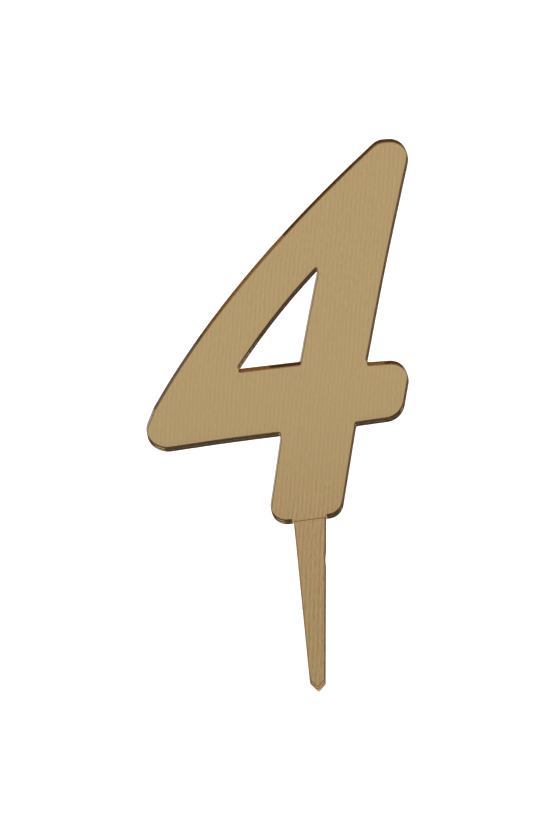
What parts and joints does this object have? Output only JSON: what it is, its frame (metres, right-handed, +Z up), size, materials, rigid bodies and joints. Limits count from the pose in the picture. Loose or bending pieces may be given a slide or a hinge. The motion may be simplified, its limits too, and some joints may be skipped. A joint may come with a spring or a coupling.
{
  "type": "number cake topper",
  "caption": "Flat mirror-acrylic figure on a tapered spike that pushes into a cake; tinted acrylic over a mirror film and a paint coat.",
  "frame": {"origin": "on the spike's centre line, on the back face of the sheet, at the level of the lowest point of the figure's foot, where the icing comes to when the spike is pushed fully in", "axes": "+Z up along the spike, +X to the reader's right, +Y out of the painted back, so the mirror face looks along -Y"},
  "size_m": [0.0492, 0.003, 0.1003],
  "materials": {
    "tinted_acrylic": "polished",
    "mirror_film": "polished",
    "back_coat": "satin",
    "cement": "gloss"
  },
  "bodies": {
    "root": {"number_acrylic": "tinted_acrylic", "number_mirror_film": "mirror_film", "number_back_coat": "back_coat", "spike_acrylic": "tinted_acrylic", "spike_mirror_film": "mirror_film", "spike_back_coat": "back_coat", "cement_seam": "cement"}
  },
  "joints": []
}
